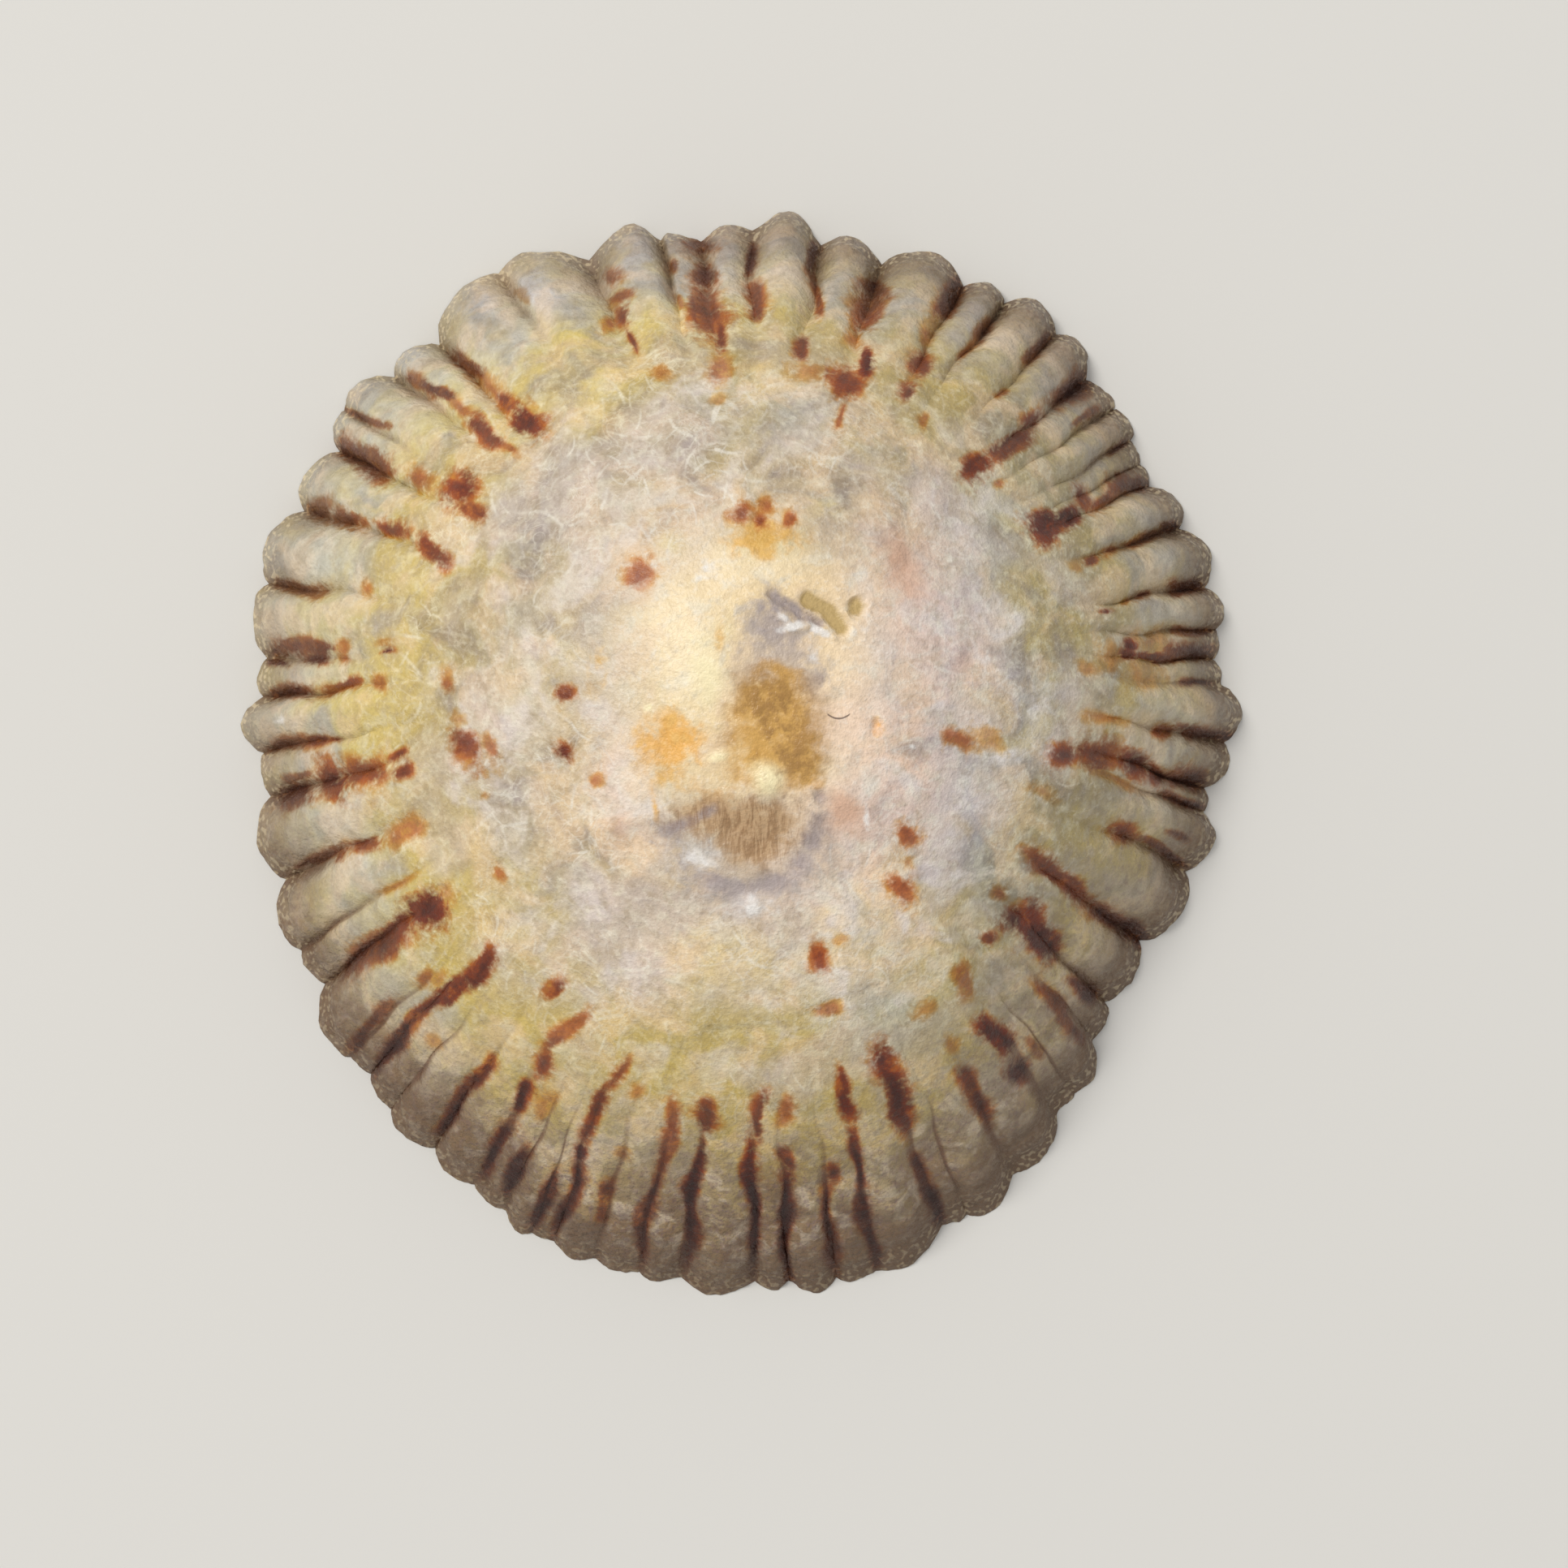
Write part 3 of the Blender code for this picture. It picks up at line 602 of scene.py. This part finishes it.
# Put together: ribs and grooves, with the marks in them, wander a little from side to side on the way to the rim,
# and the points are moved so that the outline's middle is over the frame's origin
on_flank = np.clip((outs - 0.42) / 0.2, 0.0, 1.0) * np.clip((1.0 - outs) / 0.12, 0.0, 1.0) * is_outer
sideways = (0.045 * np.sin(1.9 * x + 0.8 * y + 1.0) + 0.04 * np.sin(2.4 * y - 1.5 * x)
            + 0.03 * np.sin(4.1 * x + 3.3 * y) + 0.02 * np.sin(5.2 * y - 4.4 * x + 2.0)) * on_flank * MM
places[:, 0] -= sideways * y / np.maximum(reach, 0.01)
places[:, 1] += sideways * x / np.maximum(reach, 0.01)
low, high = (np.array(corner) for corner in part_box(NODE))
middle = (low + high) / 2.0
apex = np.array([middle[0] - (places[:, 0].min() + places[:, 0].max()) / 2.0,
                 middle[1] - (places[:, 1].min() + places[:, 1].max()) / 2.0, 0.0])
places[:, 2] = np.maximum(places[:, 2], 0.0)
mesh.vertices.foreach_set("co", (places + apex).ravel())
for name, values in {"mark": mark, "stain": stain, "breadth": breadth, **washes}.items():
    mesh.attributes.new(name, "FLOAT", "POINT").data.foreach_set("value", values)
mesh.shade_smooth()
mesh.set_sharp_from_angle(angle=math.radians(60.0))
mesh.update()


def strands(place, cell, length, width, shift):
    """Milky strands that lie every way: one short curved one across most cells, some strong and some faint."""
    moved = place.vector("ADD", (shift, -shift, 0.0))
    cells = moved.node("ShaderNodeTexVoronoi", {"voronoi_dimensions": "2D"},
                       {"Vector": moved, "Scale": 1.0 / cell}, 1)
    offset = moved.vector("SUBTRACT", cells.other(2)).vector("MULTIPLY", (1.0, 1.0, 0.0))
    turned = offset.node("ShaderNodeVectorRotate", {"rotation_type": "Z_AXIS"},
                         {"Vector": offset, "Angle": cells.part(0) * math.tau})
    along, across = turned.part(0), turned.part(1)
    bent = across + (cells.part(1) - 0.5) * 2.2 / length * along * along
    line = bent.math("ABSOLUTE").rise(width, 0.0) * along.math("ABSOLUTE").rise(length / 2.0, length / 5.0)
    return line * cells.part(2)


def web(place, breaks, sizes, width, shift):
    """Thin wandering veins, where a noise passes through its middle value, in three sets for each size."""
    bends = place.noise(sizes[0] * 2.2, 1.0, shift=shift).other(1).vector("SUBTRACT", (0.5, 0.5, 0.5))
    bent = place.vector("ADD", bends.times(sizes[0] * 3.0))
    lines = None
    for size in sizes:
        values = bent.noise(size, 1.0, 0.6, shift=shift + 5.0).other(1)
        for axis in range(3):
            line = (values.part(axis) - 0.5).math("ABSOLUTE").rise(width, 0.0) * breaks[axis].rise(0.47, 0.62)
            lines = line if lines is None else lines.math("MAXIMUM", line)
    return lines


def groundwork(material):
    """A material's shader, the place in millimetres from the apex, and the way to a named attribute."""
    material.use_nodes = True
    flow = Flow(material.node_tree)
    place = flow.node("ShaderNodeMapping", inputs={
        "Vector": flow.node("ShaderNodeTexCoord", out=3),
        "Location": tuple(-apex / MM), "Scale": (1.0 / MM,) * 3})

    def attribute(name):
        return flow.node("ShaderNodeAttribute", {"attribute_name": name}, out=2)

    return flow, material.node_tree.nodes["Principled BSDF"], place, attribute


def coat(flow, surface, colour, rough, height, strength, depth):
    """Lead the colour, the roughness and the fine relief, of a depth in millimetres, into the shader."""
    bump = flow.node("ShaderNodeBump", inputs={"Strength": strength, "Distance": depth * MM, "Height": height})
    for name, value in (("Base Color", colour), ("Roughness", rough), ("Normal", bump)):
        flow.tree.links.new(value.socket, surface.inputs[name])


LUMINANCE = (0.2126, 0.7152, 0.0722)     # how much red, green and blue count in lightness
MEAN_BEIGE = (1.205, 0.972, 0.67)        # the lime's mean colour, for a lightness of 1
HUES_APART = 0.36                        # how much further than in the mix the hues are from that beige
FIBRE_AT, FIBRE_BOW = (1.85, -1.52, 0.0), 1.6    # mm from the apex, and how strongly it is bent


def paint_outside(material):
    """Chalky weathered lime: cream and grey ribs, a lilac belt round a warm crown, and the brown marks."""
    flow, surface, place, attribute = groundwork(material)
    across, ahead = place.part(0), place.part(1)
    out, climb, mark, stain, film = (attribute(name) for name in ("out", "climb", "mark", "stain", "film"))
    plan = place.vector("MULTIPLY", (1.0, 1.0, 0.0))
    reach = plan.vector("LENGTH", out=1)
    # Space that is stretched along the ribs: grain in it runs from the apex to the rim
    ribwise = plan.vector("NORMALIZE").times(10.0).vector(
        "ADD", flow.node("ShaderNodeCombineXYZ", inputs={2: reach * 0.35}))

    area = place.noise(2.6, 1.0, shift=4.0).other(1)
    clouds = place.noise(1.25, 4.0, 0.52, distortion=0.5, shift=9.0)
    patches = place.noise(0.4, 3.0, 0.58, distortion=0.3, shift=14.0)
    flecks = place.noise(0.15, 2.0, 0.65, shift=2.0)
    fine = place.noise(0.07, 1.0, 0.6, shift=6.0)
    streaks = 0.5 + (ribwise.noise(0.34, 2.0, 0.6) - 0.5) * out.rise(0.3, 0.6)
    broad_streaks = ribwise.noise(1.3, 1.0, shift=5.0)
    cloud, patch, fleck = (field.other(1) for field in (clouds, patches, flecks))
    warped = out + (area.part(0) - 0.5) * 0.26 + (clouds - 0.5) * 0.16

    # Zones, from the crown outward
    colour = (240, 216, 174)
    for start, end, hue in ((0.12, 0.34, (216, 198, 166)), (0.36, 0.54, (198, 186, 162)),
                            (0.54, 0.68, (206, 188, 130)), (0.74, 0.9, (202, 190, 164))):
        colour = warped.rise(start, end).mix(colour, hue)
    crest = climb.rise(0.2, 0.75) * warped.rise(0.74, 0.92) * (1.0 - film)
    crest_hue = across.rise(2.0, 9.0).mix((200, 194, 176), (208, 203, 194))
    crest_hue = ahead.rise(5.0, 8.0).mix(crest_hue, (202, 198, 200))
    colour = (crest * 0.8).mix(colour, crest_hue)

    # Large washes of the lime's own colour, and a grey band of painted shade at the edge of the belt; the cream at
    # the right and the back of the crown is partly painted light
    for name, hue, strength in (("blush", (255, 224, 202), 0.9), ("frost", (210, 213, 216), 0.88),
                                ("honey", (228, 213, 164), 0.75), ("cream", (255, 235, 198), 0.95),
                                ("dusk", (136, 125, 110), 0.85)):
        wash = (attribute(name) * (0.6 + 0.8 * clouds)).clamped() * strength
        colour = wash.mix(colour, hue)

    # Mottling: milky, greyer, yellower and pinker clouds, from about a millimetre down to a tenth
    beyond_crown, smooth_rim = out.rise(0.2, 0.42), 1.0 - 0.7 * out.rise(0.74, 0.88)
    grey = out.rise(0.66, 0.82).mix((154, 143, 137), (168, 160, 148))
    front = 1.0 - 0.75 * ahead.rise(-3.5, -6.5)
    for factor, hue in (
            (cloud.part(0).rise(0.46, 0.68) * 0.8 * beyond_crown * front, grey),
            (cloud.part(0).rise(0.53, 0.36) * 0.9 * beyond_crown * out.rise(0.75, 0.6), (240, 230, 222)),
            (cloud.part(1).rise(0.42, 0.68) * 0.6 * out.rise(0.3, 0.55), (206, 188, 134)),
            (cloud.part(2).rise(0.47, 0.62) * 0.5, (232, 208, 178)),
            (area.part(1).rise(0.46, 0.6) * 0.5 * beyond_crown * out.rise(0.8, 0.66), (208, 196, 194)),
            (patch.part(0).rise(0.48, 0.7) * 0.4 * smooth_rim, (240, 234, 216)),
            (patch.part(1).rise(0.5, 0.7) * 0.34 * beyond_crown, (156, 138, 108)),
            (patch.part(2).rise(0.52, 0.7) * 0.2 * beyond_crown * smooth_rim, (172, 162, 168)),
            (fleck.part(0).rise(0.52, 0.72) * 0.24 * smooth_rim, (248, 241, 228)),
            (fleck.part(1).rise(0.52, 0.72) * 0.18, (152, 132, 110))):
        colour = factor.mix(colour, hue)

    # Milky strands and veins over the lime, fewer near the rim
    pale = 0.62 * web(place, [cloud.part(axis) for axis in (2, 0, 1)], (0.8, 0.44), 0.026, 21.0)
    for cell, length, width, shift in ((0.7, 1.1, 0.065, 0.0), (0.42, 0.7, 0.045, 3.7)):
        pale = pale + strands(place, cell, length, width, shift)
    clustered = area.part(2).rise(0.42, 0.58) * (0.4 + 0.6 * patch.part(0).rise(0.4, 0.6))
    pale = pale.clamped() * (0.3 + 0.7 * clustered) * (1.0 - 0.85 * out.rise(0.66, 0.84))
    pale = pale * (0.2 + 0.8 * out.rise(0.18, 0.36))
    pale = pale * (0.62 + 0.15 * ahead.rise(1.0, 6.0) - 0.25 * across.rise(1.0, 5.0))
    colour = pale.mix(colour, (246, 240, 230))

    # The hues are drawn apart from the mean beige, at the same lightness: yellows yellower and lilacs bluer
    lightness = colour.vector("DOT_PRODUCT", LUMINANCE, out=1)
    beige = flow.node("ShaderNodeCombineXYZ", inputs=dict(enumerate(MEAN_BEIGE))).times(lightness)
    colour = colour.vector("ADD", colour.vector("SUBTRACT", beige).times(HUES_APART))
    # and the lime is warmest in the band where the ribs begin, most of all at the left and the front
    leftward = 1.0 - across.rise(0.0, 7.0) * ahead.rise(7.0, 2.0)
    clean = 1.0 - film
    warmth = out.rise(0.25, 0.4) * (1.0 - out.rise(0.74, 0.84) * clean) * (0.1 + 0.8 * leftward)
    colour = warmth.mix(colour, (254, 247, 234), "MULTIPLY")
    golden = warped.rise(0.56, 0.68) * (1.0 - warped.rise(0.68, 0.92) * clean) * (0.3 + 0.6 * clouds)
    colour = golden.mix(colour, (253, 248, 220), "MULTIPLY")

    striated = plan.vector("MULTIPLY", (8.0, 1.6, 0.0)).noise(1.0, 2.0, 0.7, distortion=1.2)

    # The crown: amber stains, the brown hollow with its striated fan, a purple-grey crescent, chalky chips, and
    # painted highlights on the bright knob and in small glints; the noise makes their edges ragged, and how much of
    # it is taken makes them crisp or soft
    amber = (attribute("amber") + 0.8 * (clouds - 0.5) + 2.0 * (patches - 0.5)).rise(0.08, 0.85)
    amber = amber * attribute("amber").rise(0.02, 0.3)
    colour = (amber * 0.9).mix(colour, (254, 210, 124), "MULTIPLY")
    for name, hue, strength, grain, start, full in (
            ("drab", (186, 172, 162), 0.85, patches, 0.0, 0.85), ("umber", (210, 162, 80), 0.92, patches, 0.08, 0.9),
            ("fan", (190, 156, 116), 0.9, patches, 0.05, 0.85), ("slate", (157, 146, 149), 0.85, patches, 0.0, 1.0),
            ("rose", (216, 172, 144), 0.75, clouds, 0.0, 1.0), ("tan", (196, 170, 116), 1.0, clouds, 0.3, 0.7),
            ("gleam", (255, 244, 200), 0.95, clouds, 0.05, 0.95),
            ("chalk", (244, 242, 240), 0.85, patches, 0.1, 0.8)):
        wash = (attribute(name) + 1.5 * (grain - 0.5)).rise(start, full) * attribute(name).rise(0.0, 0.25)
        colour = (wash * strength).mix(colour, hue)
    burnt = (attribute("umber") * (0.5 * clouds + 0.3 * patches + 0.2 * flecks).rise(0.45, 0.57) * 1.1
             + attribute("fan") * (0.55 * striated + 0.25 * patches + 0.2 * clouds).rise(0.46, 0.6) * 1.15)
    colour = (burnt * 0.55).clamped().mix(colour, (124, 84, 44))

    # Ribs: brown film and crust toward the rim, grooves darkened with dirt and painted shade, dark seams in them, and
    # a thin brown edge with painted glints of pale gold on its grains
    sooted = film * (0.1 + 1.7 * streaks) * (0.4 + 1.2 * clouds) * (0.2 + 1.5 * broad_streaks)
    sooted = (sooted * (0.6 + 0.7 * out.rise(0.84, 0.99))).clamped()
    colour = (sooted * 0.8).mix(colour, (124, 93, 67))
    for factor, hue in ((patch.part(2).rise(0.46, 0.62), (214, 200, 180)),
                        (patch.part(0).rise(0.5, 0.66), (96, 70, 62)),
                        (fleck.part(2).rise(0.5, 0.66), (140, 116, 116)),
                        (cloud.part(2).rise(0.54, 0.44), (112, 84, 66))):
        colour = (factor * film * 0.58).mix(colour, hue)
    # the grooves near the rim made darker and browner: partly dirt, partly painted shade where they lie between the
    # ribs
    groove_dirt_and_shade = climb.rise(0.3, 0.0) * out.rise(0.76, 0.92) * (0.2 + 0.6 * film + 0.8 * clouds)
    colour = (groove_dirt_and_shade * (0.45 + 0.2 * film)).clamped().mix(colour, (120, 90, 62))
    seam = climb.rise(0.24, 0.04) * attribute("seam") * streaks.rise(0.22, 0.44)
    colour = (seam * 0.78).clamped().mix(colour, (98, 60, 44))
    browned = 0.45 + 0.5 * film - 0.25 * crest + 0.5 * across.rise(-2.0, 6.0)
    edge = out.rise(0.88, 0.98) * (0.4 + 0.9 * flecks) * browned
    colour = edge.clamped().mix(colour, (106, 84, 64))
    grains = place.noise(0.11, 0.0, shift=15.0)
    # painted highlights: pale gold glints on grains along the rim edge, which are also made glossier
    rim_glints = out.rise(0.95, 0.99) * grains.rise(0.52, 0.7) * (1.0 - 0.7 * film)
    colour = (rim_glints * 0.5).mix(colour, (232, 214, 176))

    # Marks: soft-edged, and the deeper the stain the darker, from ochre through red-brown to a dark maroon;
    # where the film is strong, at the back, they are less broken up and keep their dark colour to the rim
    breadth = attribute("breadth")
    unbroken = 1.0 - 0.5 * film
    ragged = mark + breadth * ((clouds - 0.5) * 0.8 + (streaks - 0.5) * 0.6 + (patches - 0.5) * 2.2 * unbroken
                               + (flecks - 0.5) * 1.2)
    inward = 0.0 - ragged / breadth
    body = (inward.rise(-0.85, 0.45) * (0.64 + 0.4 * stain)).clamped()
    depth_of_stain = stain * (0.34 + 0.5 * inward.rise(-0.6, 0.9) + 1.4 * (patches - 0.5) + 1.0 * (streaks - 0.5)
                              + 0.5 * (flecks - 0.5))
    toned = flow.node("ShaderNodeValToRGB", {"stops": (
        (0.0, (252, 232, 160)), (0.18, (244, 196, 96)), (0.36, (212, 130, 52)),
        (0.56, (160, 78, 38)), (0.85, (106, 52, 46)))}, {0: depth_of_stain})
    purple = flow.node("ShaderNodeValToRGB", {"stops": (
        (0.0, (236, 206, 160)), (0.4, (196, 148, 112)), (0.85, (144, 100, 92)))}, {0: depth_of_stain})
    pigment = (out.rise(0.8, 0.94) * (1.0 - 0.6 * film)).mix(toned, purple)
    halo = ragged.rise(0.14, -0.05) * cloud.part(0).rise(0.44, 0.6) * out.rise(1.0, 0.85)
    colour = (halo * 0.6).mix(colour, (236, 192, 108), "MULTIPLY")
    colour = body.mix(colour, colour.vector("MULTIPLY", pigment))

    # One dark stray fibre stuck on the crown, light and dark in the grain, and painted light and shade across the
    # belt, lighter away from the lamp
    stray = plan.vector("SUBTRACT", FIBRE_AT)
    bow = stray.part(1) - FIBRE_BOW * stray.part(0) * stray.part(0)
    stray_line = bow.math("ABSOLUTE").rise(0.03, 0.01) * stray.part(0).math("ABSOLUTE").rise(0.27, 0.22)
    colour = (stray_line * 0.8).mix(colour, (90, 70, 66))
    growth = (out * 190.0 + clouds * 16.0).math("SINE") * out.rise(0.7, 0.84) * (0.4 + 1.6 * crest * patches)
    shade = (0.79 + 0.21 * flecks + 0.21 * fine) + 0.35 * (cloud.part(2) - 0.5) * beyond_crown * out.rise(0.85, 0.66)
    shade = shade + 0.25 * (streaks - 0.5) * out.rise(0.45, 0.8) + 0.06 * growth
    # painted light and shade: lighter toward the right and the back, the side away from the lamp, and darker toward
    # the lamp at the left and front
    worn = (across * 0.014 - ahead * 0.016) * out.rise(0.7, 0.5)    # lighter toward the right and the back
    colour = colour.times(shade + worn)

    rough = (0.48 + 0.4 * (flecks - 0.5) - 0.22 * rim_glints - 0.12 * attribute("umber") + 0.1 * pale
             - 0.12 * crest).clamped()
    height = (0.4 * grains * out.rise(0.7, 0.95) + 0.9 * flecks + 0.3 * fine) * (1.0 + 0.8 * film)
    coat(flow, surface, colour, rough, height, 0.7, 0.06)


def paint_inside(material):
    """Smooth glossy lime, bluish white: a brown callus under the crown, and the marks showing at the rim."""
    flow, surface, place, attribute = groundwork(material)
    across, ahead = place.part(0), place.part(1)
    out, mark = attribute("out"), attribute("mark")
    broad, small = place.noise(1.8, 3.0, shift=4.0), place.noise(0.3, 2.0, shift=9.0)
    warped = out + (broad - 0.5) * 0.15
    callus = broad.rise(0.35, 0.65).mix((170, 132, 92), (206, 182, 148))
    colour = warped.rise(0.2, 0.42).mix(callus, (222, 219, 212))
    open_front = (ahead - 1.2 * across.math("ABSOLUTE")).rise(1.5, -0.5)
    scar = warped.rise(0.42, 0.46) * warped.rise(0.6, 0.56) * open_front
    colour = (scar * 0.7).mix(colour, (196, 180, 156))
    colour = warped.rise(0.6, 0.72).mix(colour, (230, 226, 216))
    colour = warped.rise(0.8, 0.95).mix(colour, (214, 202, 176))
    shown = (mark + (small - 0.5) * 0.2).rise(0.1, -0.05) * out.rise(0.6, 0.95)
    colour = (shown * 0.75).mix(colour, (112, 66, 46))
    coat(flow, surface, colour, 0.18 + 0.2 * small, broad + scar, 0.4, 0.04)
    surface.inputs["Coat Weight"].default_value = 0.3
    surface.inputs["Subsurface Weight"].default_value = 0.15
    surface.inputs["Subsurface Radius"].default_value = (1.0, 0.7, 0.45)
    surface.inputs["Subsurface Scale"].default_value = 0.3 * MM


paint_outside(outside)
paint_inside(inside)
shell = placed("shell_with_marks", mesh)
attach(shell, "root")
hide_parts(NODE)

# The floor, a plain pale sheet that the shell lies on.
# It is large enough to reach past the frame from every side, and isn't part of the shell.
FLOOR_SIZE = 1.2
FLOOR_GAP = 0.02 * MM    # keeps the rim's flat underside clear of the floor
floor_mesh = bpy.data.meshes.new("floor")
half = FLOOR_SIZE / 2.0
floor_mesh.from_pydata([(-half, -half, 0.0), (half, -half, 0.0), (half, half, 0.0), (-half, half, 0.0)], [],
                       [(0, 1, 2, 3)])
floor_material = bpy.data.materials.new("pale floor")
floor_material.use_nodes = True
floor_surface = floor_material.node_tree.nodes["Principled BSDF"]
floor_surface.inputs["Base Color"].default_value = tint(222, 222, 220)
floor_surface.inputs["Roughness"].default_value = 0.8
floor_mesh.materials.append(floor_material)
floor = placed("floor", floor_mesh)
floor.location.z = -FLOOR_GAP

# The light, one large soft lamp beyond the front end of the shell and a pale surround.
# The camera looks straight down from far off, so that the height of the shell hardly spreads its outline.
PHOTO_PIXELS = 1932.0
PIXEL = 0.018 * MM           # the real size of one photo pixel in the rim plane
FRAME_CENTRE = (966.0, 966.0)
OUTLINE_CENTRE = (913.5, 928.0)
CAMERA_DISTANCE = 1.0
SURROUND_COLOUR, SURROUND_STRENGTH = (1.0, 0.98, 0.95, 1.0), 0.54
KEY_PLACE = Vector((-0.27, 0.19, 0.47))      # beyond the front end, to the left, more than half a metre away
KEY_SIZE, KEY_POWER, KEY_COLOUR = 0.22, 1.85, (1.0, 0.96, 0.9)
scene = bpy.context.scene
scene.view_settings.view_transform = "Standard"
world = bpy.data.worlds.new("pale surround")
world.use_nodes = True
world.node_tree.nodes["Background"].inputs["Color"].default_value = SURROUND_COLOUR
world.node_tree.nodes["Background"].inputs["Strength"].default_value = SURROUND_STRENGTH
scene.world = world
light = bpy.data.lights.new("key lamp", "AREA")
light.shape = "DISK"
light.size, light.energy, light.color = KEY_SIZE, KEY_POWER, KEY_COLOUR
lamp = placed("key lamp", light)
lamp.location = KEY_PLACE
lamp.rotation_euler = (-KEY_PLACE).to_track_quat("-Z", "Y").to_euler()

camera = bpy.data.cameras.new("camera")
camera.lens = camera.sensor_width * CAMERA_DISTANCE / (PHOTO_PIXELS * PIXEL)
camera.clip_start, camera.clip_end = 0.01, 10.0
eye = placed("camera", camera)
eye.location = (middle[0] + (FRAME_CENTRE[0] - OUTLINE_CENTRE[0]) * PIXEL,
                middle[1] - (FRAME_CENTRE[1] - OUTLINE_CENTRE[1]) * PIXEL, CAMERA_DISTANCE)
scene.camera = eye
